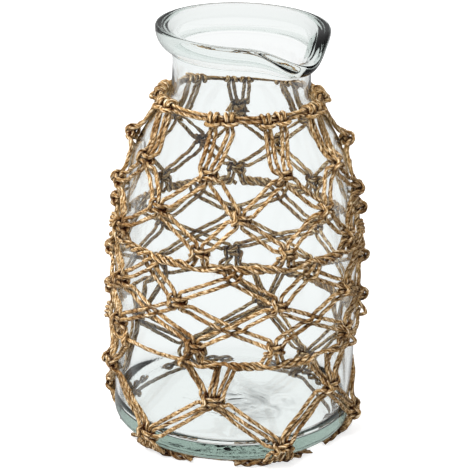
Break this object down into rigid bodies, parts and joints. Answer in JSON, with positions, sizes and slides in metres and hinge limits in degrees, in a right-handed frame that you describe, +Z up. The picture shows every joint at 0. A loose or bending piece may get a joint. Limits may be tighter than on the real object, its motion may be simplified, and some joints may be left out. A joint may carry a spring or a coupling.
{
  "type": "bottle vase",
  "caption": "Clear glass bottle vase with a flared rim and pouring lip, held in a knotted jute cord net with ring cords.",
  "frame": {"origin": "on the floor under the bottle's axis, at the bottom centre of the whole vase", "axes": "+Z up along the bottle's axis; +X towards the pouring lip"},
  "size_m": [0.1554, 0.1555, 0.2406],
  "materials": {
    "glass": "clear blown glass with a faint aqua tint, smooth and glossy",
    "jute": "natural jute twine, matt, loosely twisted and a little hairy"
  },
  "bodies": {
    "root": {"glass_bottle": "glass", "top_ring_cord": "jute", "mid_ring_cord": "jute", "low_ring_cord": "jute", "base_ring_cord": "jute", "net_cord_01": "jute", "net_cord_02": "jute", "net_cord_03": "jute", "net_cord_04": "jute", "net_cord_05": "jute", "net_cord_06": "jute", "net_cord_07": "jute", "net_cord_08": "jute", "net_cord_09": "jute", "net_cord_10": "jute", "net_cord_11": "jute", "net_cord_12": "jute", "net_cord_13": "jute", "net_cord_14": "jute", "net_cord_15": "jute", "net_cord_16": "jute", "net_cord_17": "jute", "net_cord_18": "jute"}
  },
  "joints": []
}
